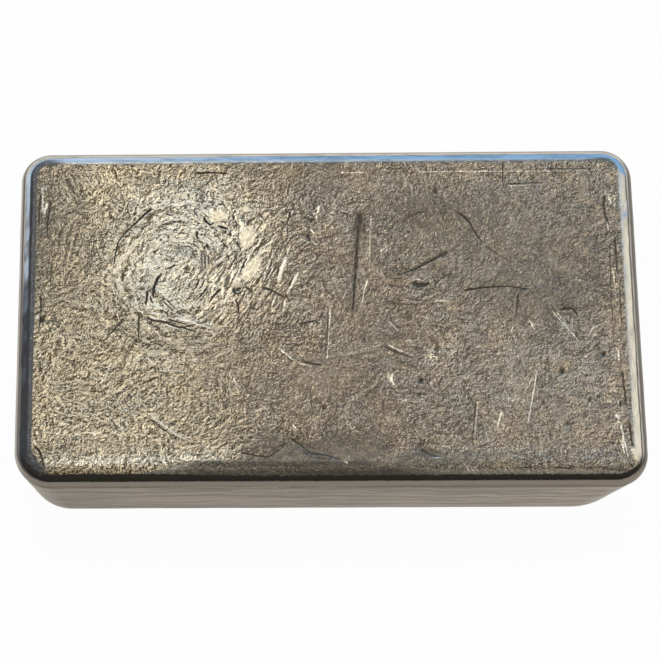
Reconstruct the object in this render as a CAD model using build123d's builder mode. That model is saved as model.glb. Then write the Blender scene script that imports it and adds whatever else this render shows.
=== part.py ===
"""A cast silver bar: one drafted slab with soft corners, a rolled shoulder and an eased foot.

The bar lies on its base. X runs along its length, Y across its width and Z up. The origin
is in the middle of the base, and every size is in millimetres.
"""
import os
from math import radians, tan

from build123d import *

# The bar along its middle lines, at its widest level, just under the shoulder
LENGTH = 141.9
WIDTH = 81.5
THICKNESS = 26.6

# The walls lean inwards on their way down to the foot
WALL_DRAFT = 3.2

# The rolled edge round the face, the narrow upright land under it, and the eased edge round the base
SHOULDER_RADIUS = 4.4
SHOULDER_LAND = 0.3
FOOT_RADIUS = 2.8

# How far each corner strays from a true rectangle, along X and Y
FRONT_LEFT_STRAY = (0.77, -0.32)
FRONT_RIGHT_STRAY = (0.63, 0.30)
BACK_RIGHT_STRAY = (-0.55, 0.34)
BACK_LEFT_STRAY = (-0.65, -0.88)

# The round of each upright corner, seen from above, at the land
FRONT_LEFT_ROUND = 8.6
FRONT_RIGHT_ROUND = 7.6
BACK_RIGHT_ROUND = 7.3
BACK_LEFT_ROUND = 7.2

# How much wider the round of each corner is at the foot
FRONT_LEFT_SPREAD = 1.8
FRONT_RIGHT_SPREAD = 8.0
BACK_RIGHT_SPREAD = 4.0
BACK_LEFT_SPREAD = 3.5

# Each corner: its side along X and along Y, its stray, its round and the round's spread
CORNERS = [
    (-1, -1, FRONT_LEFT_STRAY, FRONT_LEFT_ROUND, FRONT_LEFT_SPREAD),
    (1, -1, FRONT_RIGHT_STRAY, FRONT_RIGHT_ROUND, FRONT_RIGHT_SPREAD),
    (1, 1, BACK_RIGHT_STRAY, BACK_RIGHT_ROUND, BACK_RIGHT_SPREAD),
    (-1, 1, BACK_LEFT_STRAY, BACK_LEFT_ROUND, BACK_LEFT_SPREAD),
]


# The drafted walls end and the upright land starts at this height
WALL_TOP = THICKNESS - SHOULDER_RADIUS - SHOULDER_LAND


def section_at(height):
    """The wall's level section at a height: four straight sides and four round corners."""
    depth = WALL_TOP - height
    inset = depth * tan(radians(WALL_DRAFT))
    points = []
    rounds = []
    for side_x, side_y, stray, top_round, spread in CORNERS:
        x = side_x * (LENGTH / 2 - inset) + stray[0]
        y = side_y * (WIDTH / 2 - inset) + stray[1]
        points.append((x, y))
        rounds.append(top_round + spread * depth / WALL_TOP)
    with BuildSketch(Plane.XY.offset(height)) as section:
        with BuildLine():
            FilletPolyline(*points, radius=rounds, close=True)
        make_face()
    return section.sketch


os.makedirs("parts", exist_ok=True)

base_section = section_at(0)
land_section = section_at(WALL_TOP)

with BuildPart() as silver_bar:
    loft([base_section, land_section])
    extrude(land_section, amount=SHOULDER_LAND + SHOULDER_RADIUS)
    fillet(silver_bar.faces().sort_by(Axis.Z)[-1].edges(), SHOULDER_RADIUS)
    fillet(silver_bar.faces().sort_by(Axis.Z)[0].edges(), FOOT_RADIUS)

silver_bar.part.label = "silver_bar"
export_step(silver_bar.part, "parts/silver_bar.step")
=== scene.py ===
"""A hand-cast silver bar on a pale floor, with the scars, crinkles and bright shoulder of the real one."""

import math

import bmesh
import bpy
import numpy as np
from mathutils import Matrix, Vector


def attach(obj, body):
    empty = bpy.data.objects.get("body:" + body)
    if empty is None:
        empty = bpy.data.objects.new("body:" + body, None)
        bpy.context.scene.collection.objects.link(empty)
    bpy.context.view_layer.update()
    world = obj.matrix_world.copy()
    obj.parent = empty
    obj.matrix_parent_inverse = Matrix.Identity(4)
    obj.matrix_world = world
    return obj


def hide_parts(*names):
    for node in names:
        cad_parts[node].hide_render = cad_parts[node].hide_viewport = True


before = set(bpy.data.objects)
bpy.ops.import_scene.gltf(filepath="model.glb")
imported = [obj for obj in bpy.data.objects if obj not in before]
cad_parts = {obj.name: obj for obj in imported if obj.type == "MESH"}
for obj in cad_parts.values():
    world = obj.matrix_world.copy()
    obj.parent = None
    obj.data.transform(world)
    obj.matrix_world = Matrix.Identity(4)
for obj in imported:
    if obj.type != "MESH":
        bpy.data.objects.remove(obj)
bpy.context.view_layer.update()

MM = 0.001

# The bar's sizes in millimetres, the same as those of its solid
LENGTH = 141.9
WIDTH = 81.5
THICKNESS = 26.6
WALL_DRAFT = math.radians(3.2)
SHOULDER_RADIUS = 4.4
SHOULDER_LAND = 0.3
FOOT_RADIUS = 2.8
WALL_TOP = THICKNESS - SHOULDER_RADIUS - SHOULDER_LAND

# Each corner: its side along X and Y, how far it strays, its round and how much wider that is at the foot
CORNERS = [
    (-1, -1, (0.77, -0.32), 8.6, 1.8),
    (1, -1, (0.63, 0.30), 7.6, 8.0),
    (1, 1, (-0.55, 0.34), 7.3, 4.0),
    (-1, 1, (-0.65, -0.88), 7.2, 3.5),
]

# How finely the bar is divided: along the face, across it, and round the edge from face to foot
FACE_COLUMNS = 350
FACE_ROWS = 192
SHOULDER_ROWS = 12
WALL_ROWS = 10
FOOT_ROWS = 4

# The skin lies this far inside the solid, the walls sink by this much more, the face drops this far under
# the shoulder's top, and nothing comes nearer than this to the solid's top
SKIN_INSET = 0.03
WALL_SINK = 0.04
FACE_DROP = 0.26
TOP_CLEARANCE = 0.01

# Unevenness of the cast skin. Each one: how far it stands out, how wide its swells are, and its seed
FACE_SWELLS = ((0.10, 13, 1), (0.05, 6, 2), (0.028, 3, 3))
FINE_RIPPLE = (0.035, 2.6, 5)
BROAD_RIPPLE = (0.04, 6, 6)
WALL_SWELL = (0.03, 9, 8)
RAGGED_MARKS = (0.35, 1.6, 11)

# How far the face's relief and the strokes reach over the shoulder, as the lean where they end and where
# they are whole. The lean is 0 on the face and 1 on the walls
FACE_LEAN = (0.15, 0.0)
STROKED_LEAN = (0.5, 0.35)

# The shoulder ripples less past these places along Y
CALM_FRONT = (-34, -38)
CALM_BACK = (34, 38)

# Each noise is drawn on a square of this many points, and read from this far into it
NOISE_POINTS = 256
NOISE_START = (97.3, 41.7)

# A mark fades out over this length at its ends. It starts at the first of these shares of its width, and
# loses the second on its way
END_FADE = 1.2
SLIMMING = (1.15, 0.65)

# A stroke's share of its written half width, how far past its sides its place is kept, and its soft edge
STROKE_BREADTH = 0.9
STROKE_MARGIN = 0.72
STROKE_SOFTNESS = 0.2

# Broad dents, scars and ridges that show as relief. Each one: its half width, the depth of its groove,
# the height of the step to its left and the points it runs through, in millimetres
RELIEF_MARKS = {
    "long scar": (0.9, 0.16, -0.06, [(7.3, 24.5), (6.9, 20), (6.4, 15), (6.0, 8), (5.5, -0.5)]),
    "scar's far edge": (0.6, -0.08, 0.06, [(9.6, 21), (9.4, 12), (9.1, 7.5), (7.6, 1.2)]),
    "outer arc": (0.6, 0.10, 0.04, [(-40.2, 25.2), (-44.2, 21.8), (-48.3, 16.8), (-49.1, 10)]),
    "crescent": (0.9, 0.14, -0.08, [(-36.6, 10.6), (-39.4, 8.2), (-41.0, 4.6), (-41.2, 0.4)]),
    "crescent's lip": (0.9, -0.12, 0.0, [(-37.6, 10.6), (-41.0, 8.0), (-42.4, 5.0)]),
    "streaks' bank": (1.0, -0.12, 0.0, [(-40.6, -0.8), (-35, -2.2), (-30, -3.4), (-26, -4.4)]),
    "right gouge": (0.8, 0.12, -0.05, [(-3.5, 26.2), (-3.9, 21.5), (-4.8, 17.2)]),
    "slanting bank 1": (0.9, -0.12, 0.0, [(-25.4, 5.6), (-23.2, 9.6), (-22.0, 11.8)]),
    "slanting bank 2": (0.9, -0.14, 0.0, [(-11.8, 6.0), (-10.6, 10), (-9.2, 14)]),
    "slanting bank 3": (0.8, -0.12, 0.0, [(-9.8, 2.4), (-8.4, 6.4), (-6.9, 10)]),
    "upper slant": (0.6, 0.10, 0.05, [(27.6, 14.4), (20.5, 10.6), (15.4, 8.2)]),
    "upper slant's arm": (0.6, 0.10, 0.04, [(29.2, 24.4), (32, 22), (33.6, 19), (35.6, 16.2)]),
    "fat crescent": (0.8, 0.14, 0.05, [(18.8, 7.0), (20.8, 6.0), (23.2, 6.6)]),
    "level line": (0.5, 0.07, 0.04, [(30.4, 4.7), (35.6, 5.5), (41, 5.75), (45.8, 5.1)]),
    "bright wedge": (0.6, -0.10, 0.0, [(-11.2, -9.2), (-8.6, -11.2), (-6.2, -13.2)]),
    "corner scratch": (0.6, -0.09, 0.0, [(-40.2, -24.8), (-35.2, -29), (-30.2, -31.4)]),
    "left edge ridge": (0.7, -0.12, 0.0, [(-66.1, 31), (-65.9, 27), (-65.6, 23.2)]),
    "first flow line": (
        1.0, 0.16, -0.10, [(-9, -30.2), (-6.2, -32), (-3.8, -33.8), (0, -34.4), (4.2, -36.4)]),
    "second flow line": (
        0.8, 0.14, 0.08, [(-20, -33.7), (-17, -34.3), (-13.5, -34.8), (-11.2, -33.2), (-9.2, -31.2)]),
    "third flow line": (1.0, 0.16, -0.08, [(19.6, -32.2), (22, -33.8), (25, -35)]),
    "lifted crust": (0.7, 0.12, 0.05, [(-28.7, 23.7), (-28, 21.6), (-25.4, 20.7), (-22.4, 20.1)]),
    "upper crust": (0.5, 0.08, 0.04, [(-31.6, 33.7), (-27, 33.9), (-22.8, 33.6)]),
}

# Crisp creases and scratches, partly real dark and bright marks and partly painted shade and highlight on the
# two sides of ridges and grooves.
# Each one: its half width, its tone from -1 for dark to 1 for bright, or more for a painted gleam, and the
# points it runs through
SCAR_STROKES = [
    (0.8, -0.8, [(7.4, 24.6), (7.0, 21), (6.7, 17.4)]),
    (0.45, -1.0, [(6.7, 18.4), (6.4, 13), (6.0, 7), (5.5, -0.6)]),
    (0.5, -0.6, [(8.2, 22), (8.0, 18)]),
    (0.3, 0.45, [(9.9, 23.6), (9.6, 19), (9.4, 12), (9.3, 8.6)]),
    (0.3, 0.6, [(9.2, 8.2), (8.2, 5.0), (7.5, 1.2)]),
    (0.16, 0.9, [(2, 24.9), (5.2, 23.8)]),
    (0.16, -0.9, [(2, 24.4), (5.2, 23.3)]),
]

SWIRL_STROKES = [
    (0.32, -0.9, [(-40.2, 25.3), (-41.3, 24.6), (-43.7, 22.1), (-45.7, 20.0),
                  (-47.4, 18.0), (-48.5, 15.6), (-49.1, 10.4)]),
    (0.2, 0.6, [(-41.0, 24.2), (-43.2, 21.9), (-45.2, 19.7)]),
    (0.25, -0.8, [(-42.1, 27.6), (-43.3, 26.4)]),
    (0.2, -0.7, [(-44.3, 23.9), (-45.4, 22.7)]),
    (0.2, -0.6, [(-49.9, 20), (-51.9, 17.4), (-52.6, 14.8)]),
    (0.2, -0.5, [(-53.6, 17), (-54.2, 14), (-54.0, 11)]),
    (0.28, -0.9, [(-37.9, 23.9), (-36.3, 23.4), (-35.2, 23.7)]),
    (0.22, -0.8, [(-38.4, 21), (-37.0, 21.1)]),
    (0.22, 0.8, [(-36.6, 22.5), (-33.4, 22.2), (-31.8, 21.6)]),
    (0.22, -0.8, [(-36.6, 21.9), (-33.5, 21.6), (-31.9, 21.0)]),
    (0.3, -0.9, [(-35.8, 19.5), (-34.6, 20.0)]),
    (0.35, -0.9, [(-36.8, 18.3), (-36.6, 17.4)]),
    (0.25, -0.8, [(-31.3, 24.9), (-30.7, 23.9), (-29.7, 22.8)]),
    (0.4, -1.0, [(-30.1, 19.8), (-30.2, 18.3), (-29.7, 17.1)]),
    (0.38, -1.0, [(-28.6, 23.4), (-28.5, 22.2), (-27.7, 21.4), (-26.9, 21.1), (-26.0, 22.1)]),
    (0.4, -1.0, [(-25.5, 20.8), (-24.1, 20.3), (-22.8, 19.8)]),
    (0.3, -0.9, [(-25.5, 26.1), (-24.0, 26.1)]),
    (0.4, -0.9, [(-27.9, 16.5), (-27.6, 15.0)]),
    (0.38, -0.9, [(-24.2, 16.4), (-22.8, 15.1)]),
    (0.35, -0.9, [(-23.3, 13.7), (-22.5, 12.3)]),
    (0.32, 0.9, [(-26.2, 11.0), (-25.2, 12.1), (-24.1, 13.0), (-23.1, 13.3)]),
    (0.4, -0.7, [(-25.9, 10.2), (-24.8, 11.3), (-23.8, 12.2)]),
    (0.15, -0.9, [(-28.95, 14), (-28.95, 11.5), (-28.7, 9.4)]),
    (0.14, 0.9, [(-28.6, 14), (-28.6, 11.5), (-28.3, 9.6)]),
    (0.15, -0.9, [(-28.2, 14), (-28.2, 11.5), (-27.9, 9.6)]),
    (0.14, 0.8, [(-27.85, 14), (-27.8, 11.5), (-27.5, 9.8)]),
    (0.15, -0.8, [(-27.5, 14), (-27.45, 12), (-27.2, 10.2)]),
    (0.45, 0.8, [(-31.0, 10.8), (-29.6, 12.4), (-28.9, 13.6)]),
    (0.9, -0.55, [(-33.0, 10.6), (-31.6, 9.8)]),
    (0.2, -0.8, [(-32.8, 9.4), (-31.2, 9.0)]),
    (0.25, -0.9, [(-30.6, 10.8), (-31.0, 9.2)]),
    (0.25, 0.8, [(-31.7, 8.6), (-32.3, 6.8), (-32.8, 5.8)]),
    (0.3, -0.9, [(-29.4, 8.1), (-30.0, 6.1), (-30.5, 4.7)]),
    (0.25, 0.9, [(-28.7, 8.1), (-29.4, 6.1), (-29.9, 4.6)]),
    (0.25, -0.7, [(-28.0, 8.2), (-28.7, 6.2), (-29.3, 4.8)]),
    (0.32, -0.9, [(-27.1, 6.2), (-28.5, 4.2), (-30.5, 2.0)]),
    (0.2, 0.8, [(-27.8, 6.3), (-29.2, 4.2)]),
    (0.3, 0.9, [(-27.5, 6.0), (-27.2, 4.2)]),
    (0.4, -1.0, [(-24.3, 5.6), (-25.7, 3.9), (-26.8, 2.4), (-27.2, 1.4)]),
    (0.4, 0.9, [(-23.4, 8.8), (-25.1, 6.1), (-26.1, 4.7)]),
    (0.85, -0.6, [(-22.6, 9.4), (-23.2, 6.8), (-23.8, 4.8)]),
    (0.45, 0.8, [(-22.6, 4.1), (-24.2, 0.8)]),
    (0.3, 0.95, [(-42.2, 8.7), (-39.7, 9.25), (-37.9, 10.2), (-35.0, 11.5)]),
    (0.3, -0.9, [(-34.6, 11.3), (-36.0, 10.4), (-37.4, 9.7)]),
    (0.32, 0.95, [(-37.8, 9.6), (-39.3, 8.3), (-40.4, 7.2), (-41.4, 5.6)]),
    (0.45, -0.95, [(-37.9, 9.1), (-39.0, 7.6), (-39.5, 6.1), (-39.9, 4.6), (-39.7, 2.6)]),
    (0.35, -0.95, [(-41.2, 5.2), (-41.3, 3.0), (-41.5, 0.6)]),
    (0.25, -0.8, [(-40.6, 3.8), (-40.2, 2.2), (-39.6, 1.2)]),
    (0.18, -0.95, [(-37.2, 3.0), (-35.7, 1.4), (-34.2, -0.1)]),
    (0.16, 0.9, [(-37.5, 2.7), (-36.0, 1.2), (-34.5, -0.4)]),
    (0.18, -0.95, [(-37.9, 2.5), (-36.3, 0.9), (-34.8, -0.6)]),
    (0.25, 0.8, [(-34.6, -0.4), (-33.4, -1.7), (-31.6, -2.5)]),
    (0.42, 1.0, [(-40.8, -0.5), (-38.8, -0.9), (-36.4, -1.4)]),
    (0.42, 1.0, [(-34.6, -2.1), (-32.2, -2.6), (-29.7, -3.4), (-27.4, -4.2), (-26.0, -4.6)]),
    (0.3, 0.9, [(-28.7, -3.0), (-25.2, -3.7)]),
    (0.3, -1.0, [(-41.7, -1.4), (-39.7, -2.5), (-37.2, -2.9), (-35.4, -3.7), (-32.9, -4.3), (-29.5, -5.3)]),
    (0.22, 0.9, [(-40.6, -1.5), (-38.4, -2.2), (-36.0, -2.6)]),
    (0.22, 0.9, [(-37.2, -3.4), (-35.0, -4.2), (-33.2, -4.8)]),
    (0.28, 0.8, [(-37.8, -4.3), (-36.2, -4.7)]),
    (0.25, -0.9, [(-36.7, -1.9), (-34.6, -2.8), (-31.4, -3.6)]),
    (0.3, -0.7, [(-43.0, -0.8), (-43.0, -4), (-42.8, -8)]),
    (0.22, -0.9, [(-46.3, -2.2), (-49, -5.2), (-51.6, -8.4)]),
]

KNOCK_STROKES = [
    (0.38, -0.9, [(-21.7, 23.4), (-22.0, 21.9)]),
    (0.3, -0.8, [(-16.2, 23.6), (-14.9, 22.7)]),
    (0.3, -0.9, [(-21.3, 17.2), (-20.6, 15.8), (-19.7, 14.5)]),
    (0.22, 0.8, [(-21.9, 17.0), (-21.2, 15.6), (-20.3, 14.2)]),
    (0.35, -0.8, [(-21.4, 13.3), (-21.0, 12.7)]),
    (0.22, -0.9, [(-18.4, 13.2), (-19.8, 10.2), (-20.7, 7.5)]),
    (0.2, 0.8, [(-19.0, 13.3), (-20.3, 10.4), (-21.2, 8.0)]),
    (0.2, -0.8, [(-19.6, 13.4), (-20.9, 10.6)]),
    (0.22, -0.8, [(-13.4, 13.2), (-12.9, 11.6), (-14.0, 9.4)]),
    (0.2, 0.8, [(-13.9, 13.0), (-13.5, 11.6), (-14.5, 9.8)]),
    (0.25, 0.9, [(-12.4, 10.7), (-13.4, 8.9), (-14.2, 7.8)]),
    (0.25, -0.95, [(-12.9, 10.3), (-14.2, 8.0), (-14.9, 6.6)]),
    (0.3, 0.9, [(-14.2, 9.2), (-15.0, 6.6)]),
    (0.65, 1.0, [(-9.3, 13.2), (-10.6, 10.5), (-11.2, 8.0), (-11.7, 6.2)]),
    (0.3, -0.8, [(-11.3, 10.9), (-11.9, 7.8)]),
    (0.5, 0.95, [(-6.9, 9.8), (-7.7, 7.4), (-8.7, 5.5), (-9.7, 3.4)]),
    (0.3, 0.8, [(-9.7, 3.2), (-10.0, 1.4), (-10.6, -2.2)]),
    (0.28, -0.8, [(-7.9, 8.4), (-9.3, 5.2)]),
    (0.28, 0.9, [(-11.6, 3.6), (-12.5, 2.1), (-13.0, 0.4), (-13.1, -0.8)]),
    (0.35, -1.0, [(-15.8, 5.6), (-14.2, 5.3), (-12.5, 4.6), (-11.2, 3.8), (-9.6, 3.0)]),
    (0.36, -1.0, [(-21.8, 5.7), (-21.5, 4.5), (-20.4, 4.0), (-19.4, 5.1)]),
    (0.32, 0.9, [(-21.7, 6.8), (-20.2, 9.4)]),
    (0.9, 1.9, [(-21.6, 6.0), (-20.8, 6.3), (-19.9, 5.8)]),
    (0.5, -0.8, [(-19.2, 6.1), (-16.8, 3.8)]),
    (0.32, -0.9, [(-21.3, 3.1), (-20.5, 0.8), (-20.5, -1.5)]),
    (0.28, 0.9, [(-22.0, 3.0), (-21.0, 1.6)]),
    (0.45, 0.9, [(-18.9, 2.8), (-18.4, 2.0)]),
    (0.2, -0.6, [(-18.4, 0.8), (-16.9, 0.3), (-15.2, -0.1)]),
    (0.28, -1.0, [(-8.7, 24.7), (-9.1, 22.7), (-9.6, 21.2)]),
    (0.2, 0.9, [(-8.2, 24.9), (-8.6, 22.9)]),
    (0.2, 0.8, [(-9.3, 24.2), (-9.6, 22.6)]),
    (0.3, -0.9, [(-11.3, 22.0), (-10.0, 21.2)]),
    (0.35, -0.8, [(-9.9, 25.1), (-9.8, 23.8)]),
    (0.18, -0.9, [(-9.4, 20.8), (-9.4, 18)]),
    (0.22, 0.7, [(-9.8, 20.8), (-9.8, 18.2)]),
    (0.45, -0.5, [(-10.7, 20.6), (-10.9, 16.7)]),
    (0.3, 0.8, [(-8.4, 16.6), (-9.8, 13.4)]),
    (0.25, -0.8, [(-9.2, 14.8), (-10.3, 13.0)]),
    (0.35, -1.0, [(-3.3, 26.4), (-3.3, 24.7)]),
    (0.4, -1.0, [(-3.5, 22.8), (-4.3, 21.2)]),
    (0.45, -1.0, [(-5.1, 18.9), (-4.2, 16.8)]),
    (0.32, 1.0, [(-2.0, 26.3), (-2.7, 23.6), (-2.8, 21.8)]),
    (0.4, 0.9, [(-4.2, 20.1), (-3.1, 18.4)]),
    (0.6, -0.5, [(-4.8, 23.6), (-4.6, 21.4)]),
    (0.22, 0.9, [(-5.6, 17.2), (-4.4, 16.4)]),
    (0.22, 0.8, [(-3.7, 16.5), (-2.4, 16.0)]),
    (0.26, -0.95, [(-6.6, -3.3), (-4.7, -2.9), (-2.8, -2.6), (-2.2, -3.7)]),
    (0.25, 0.5, [(-19.0, -8), (-18.7, -6.4), (-17.5, -5.1), (-14.6, -5.3)]),
    (0.35, 1.0, [(-11.2, -9.2), (-9.4, -10.8), (-7.4, -12.4)]),
    (0.3, 0.8, [(-7.0, -12.6), (-4.8, -13.4)]),
    (0.35, -0.9, [(-6.4, -12.2), (-3.6, -12.9), (-0.8, -13.3)]),
    (0.22, 0.7, [(0.45, 1.0), (0.2, -5), (-0.4, -12.6)]),
    (0.2, -0.6, [(-0.1, 0.6), (-0.3, -5), (-0.9, -12.2)]),
    (0.3, -0.9, [(-31.6, 33.8), (-27, 34.0), (-22.8, 33.7)]),
    (0.25, 0.8, [(-31.8, 34.5), (-28, 34.6)]),
    (0.28, 0.9, [(-57.4, 34.0), (-55, 34.1), (-53.4, 34.3)]),
]

RIGHT_STROKES = [
    (0.38, -0.95, [(27.8, 14.6), (20.6, 10.6), (15.3, 8.2)]),
    (0.32, -0.9, [(29.2, 24.6), (32, 22), (33.6, 19), (35.7, 16.0)]),
    (0.3, -0.5, [(35.7, 16.0), (39, 13.5), (42, 11.6)]),
    (0.6, -0.95, [(18.8, 7.0), (20.8, 6.0), (23.4, 6.6)]),
    (0.3, 0.7, [(19.2, 7.6), (22.4, 7.0)]),
    (0.22, -0.7, [(23.8, 6.3), (28.7, 9.7)]),
    (0.28, -0.95, [(30.3, 4.7), (35.6, 5.5), (41, 5.75), (46, 5.0)]),
    (0.3, -0.8, [(43.3, 4.8), (43.0, 2.4), (42.4, -2.2)]),
    (0.4, -0.6, [(16.4, 21.4), (19, 23.2), (23, 24.6)]),
    (0.3, -0.6, [(25, 23.4), (28, 24.4)]),
    (0.22, 0.6, [(11.4, 14.2), (14.2, 16.1)]),
    (0.2, -0.6, [(12.4, 3.1), (15, 1.6), (21, 1.5)]),
    (0.4, 0.5, [(23.4, 2.4), (28.2, 2.2)]),
    (0.16, 0.8, [(13.2, -2.4), (16.2, -5.4)]),
    (0.16, -0.8, [(13.7, -2.0), (16.8, -5.0)]),
    (0.28, -0.9, [(12.2, -8.6), (15.6, -10.2), (19.6, -11.8)]),
    (0.2, 0.8, [(12.8, -8.1), (16.0, -9.6), (19.8, -11.1)]),
    (0.2, 0.7, [(45.2, -1.8), (47.1, -5.6)]),
    (0.18, 0.9, [(50.4, 0.2), (54, -4.2), (57, -8.2)]),
    (0.16, 0.7, [(51.6, -0.4), (54.8, -4.4)]),
    (0.2, 0.6, [(58.4, -6.8), (60, -4.2), (63.4, -2.6)]),
    (0.35, -0.9, [(52, 0), (55, 0.5), (56, -0.4), (56.8, -2)]),
    (0.2, 0.6, [(41.8, -3.4), (41.0, -6.6)]),
    (0.22, -0.6, [(52.5, 9), (52.8, 5)]),
    (0.16, -0.9, [(40.6, 31.2), (45, 31.4), (50, 31.5)]),
    (0.16, 0.7, [(40.8, 30.7), (44, 30.8), (47, 30.9)]),
    (0.22, 0.5, [(20, 34.2), (34, 34.3), (48, 34.4), (62, 34.5)]),
    (0.16, -0.6, [(50, 34.9), (62, 35.1)]),
    (0.18, -0.9, [(40.35, 37), (40.3, 33), (40.5, 29.8)]),
    (0.25, 0.6, [(2, 34), (9.6, 34)]),
    (0.22, -0.5, [(64.35, 15), (64.3, 2), (64.5, -10)]),
    (0.2, 0.9, [(47, -14), (45.8, -20.5), (44.4, -27.5)]),
    (0.18, 0.7, [(46.2, -15.4), (44.2, -19.6)]),
    (0.35, 0.9, [(38.8, -23.9), (38.2, -26.2), (37.5, -28.6)]),
    (0.18, 0.8, [(40.4, -20.2), (40.3, -22.6)]),
    (0.16, 0.6, [(40.9, -20.3), (40.8, -22.2)]),
    (0.2, -0.6, [(33, -21.4), (32.4, -27), (32, -32.2)]),
    (0.18, 0.5, [(33.5, -21.4), (32.9, -27), (32.5, -32.2)]),
    (0.2, -0.9, [(49.5, -37.4), (55, -37.5)]),
    (0.18, -0.8, [(42.4, -37.4), (45.6, -37.4)]),
    (0.4, 0.8, [(65.2, -30.2), (65.8, -34.6)]),
    (0.4, 0.8, [(14.6, -14.6), (14.2, -16.6), (14.9, -18.4)]),
    (0.3, 0.8, [(13.8, -15.2), (13.4, -16.4)]),
    (0.35, -0.8, [(11.8, -18.8), (13.4, -18.8)]),
    (0.25, -0.6, [(12.1, -20.8), (12.5, -26.6)]),
    (0.45, -0.7, [(20.2, -32.6), (22.2, -34.0), (24.6, -34.9)]),
    (0.25, 0.8, [(22.6, -35.2), (25.2, -34.9)]),
]

RIM_STROKES = [
    (0.3, 0.9, [(64.6, 27.8), (65.2, 26.0)]),
    (0.25, 0.8, [(64.0, 22), (64.3, 19)]),
    (0.25, 0.7, [(64.9, 10), (65.1, 6)]),
    (0.25, 0.8, [(65.3, -9), (65.4, -13)]),
    (0.45, 1.0, [(64.2, -24.6), (65.0, -26.4)]),
    (0.3, 1.0, [(65.0, -26.4), (65.7, -30.6), (66.6, -35.4)]),
    (0.4, -0.8, [(63.8, 28.8), (63.4, 25.2), (64.4, 20.6)]),
    (0.35, -0.7, [(65.6, 18), (65.9, 8)]),
    (0.3, -0.5, [(66.2, 6), (66.4, -6)]),
    (0.4, -0.7, [(66.0, -14), (66.6, -24)]),
    (0.4, -0.7, [(67.0, -26), (67.6, -33)]),
    (0.3, -0.9, [(65.4, -21.4), (65.2, -23.4)]),
    (1.0, 1.0, [(67.6, -32.2), (68.1, -34.2), (67.7, -35.8)]),
    (0.3, -0.8, [(66.9, -36.2), (68.0, -37.8)]),
    (0.35, 1.0, [(-64.6, 26.6), (-65.2, 24.6), (-65.5, 22.4)]),
    (0.3, -0.9, [(-64.0, 27.6), (-64.3, 24), (-64.6, 20.6), (-64.2, 17)]),
    (0.35, -0.8, [(-66.0, 29.4), (-66.6, 25), (-66.4, 20)]),
    (0.25, 0.7, [(-65.4, 30.8), (-65.0, 29)]),
    (0.25, -0.8, [(-65.4, 4), (-65.2, -1), (-65.6, -6)]),
    (0.35, 0.9, [(-66.0, -0.8), (-66.0, -2.6)]),
    (0.2, -0.7, [(-63.2, 12), (-63.4, 5)]),
]

FRONT_STROKES = [
    (0.22, 1.0, [(-38.6, -14.6), (-35, -14.6), (-31.2, -14.7)]),
    (0.35, 0.8, [(-48.9, -12.4), (-50.0, -16), (-52.2, -18.4)]),
    (0.35, 0.9, [(-40.2, -24.8), (-37.2, -27.2), (-33.4, -29.9), (-30.2, -31.4)]),
    (0.2, -0.7, [(-40.4, -25.6), (-37.4, -28.0), (-33.6, -30.7)]),
    (0.4, 0.8, [(-46.2, -24.6), (-44, -23.4), (-41.8, -22.6)]),
    (0.25, 0.7, [(-21.6, -16.2), (-20, -18.6)]),
    (0.18, -0.7, [(-4.1, -18.4), (-3.7, -24.8)]),
    (0.22, -0.8, [(-65, -12), (-64.7, -15.2)]),
    (0.26, -1.0, [(-8.8, -30.3), (-6.2, -32), (-3.8, -33.9), (0, -34.5), (3.4, -35.8)]),
    (0.2, -0.95, [(-20, -33.7), (-17, -34.3), (-13.5, -34.8), (-11.2, -33.4), (-9.2, -31.2)]),
    (0.4, -0.6, [(-6.2, -33.4), (-2.6, -35.0), (1, -35.6)]),
    (0.4, 0.9, [(3.6, -35.6), (4.4, -36.8)]),
    (0.25, 0.8, [(-8.2, -27), (-7, -28.6)]),
    (0.3, -0.7, [(-20, -30), (-18.4, -31.4)]),
    (0.35, 0.9, [(-52.8, -29.0), (-51.6, -30.2)]),
    (0.18, 1.0, [(30.4, -37.1), (31.6, -38.6)]),
    (0.18, 1.0, [(31.3, -37.1), (32.5, -38.6)]),
    (0.18, 1.0, [(32.2, -37.0), (33.2, -38.3)]),
    (0.18, 0.9, [(38.8, -37.4), (40.0, -38.5)]),
    (0.16, 0.8, [(39.7, -37.1), (40.7, -38.2)]),
    (0.22, 0.8, [(33.2, -39.9), (34.2, -40.4)]),
    (0.35, -0.9, [(-65.6, -32), (-63.9, -34.2), (-62.9, -38)]),
    (0.35, -0.9, [(-67.6, -35.2), (-66.6, -34.2), (-65.2, -35), (-64.8, -37),
                  (-66.2, -37.8), (-67.4, -36.8), (-67.6, -35.2)]),
    (0.3, 0.9, [(-64.6, -39.6), (-63.4, -40.6)]),
    (0.4, 0.9, [(-66.1, 31), (-65.9, 27), (-65.6, 23.2)]),
]

ALL_STROKES = SCAR_STROKES + SWIRL_STROKES + KNOCK_STROKES + RIGHT_STROKES + RIM_STROKES + FRONT_STROKES
STROKE_LAYERS = ("strokes_a", "strokes_b", "strokes_c", "strokes_d", "strokes_e")
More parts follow.
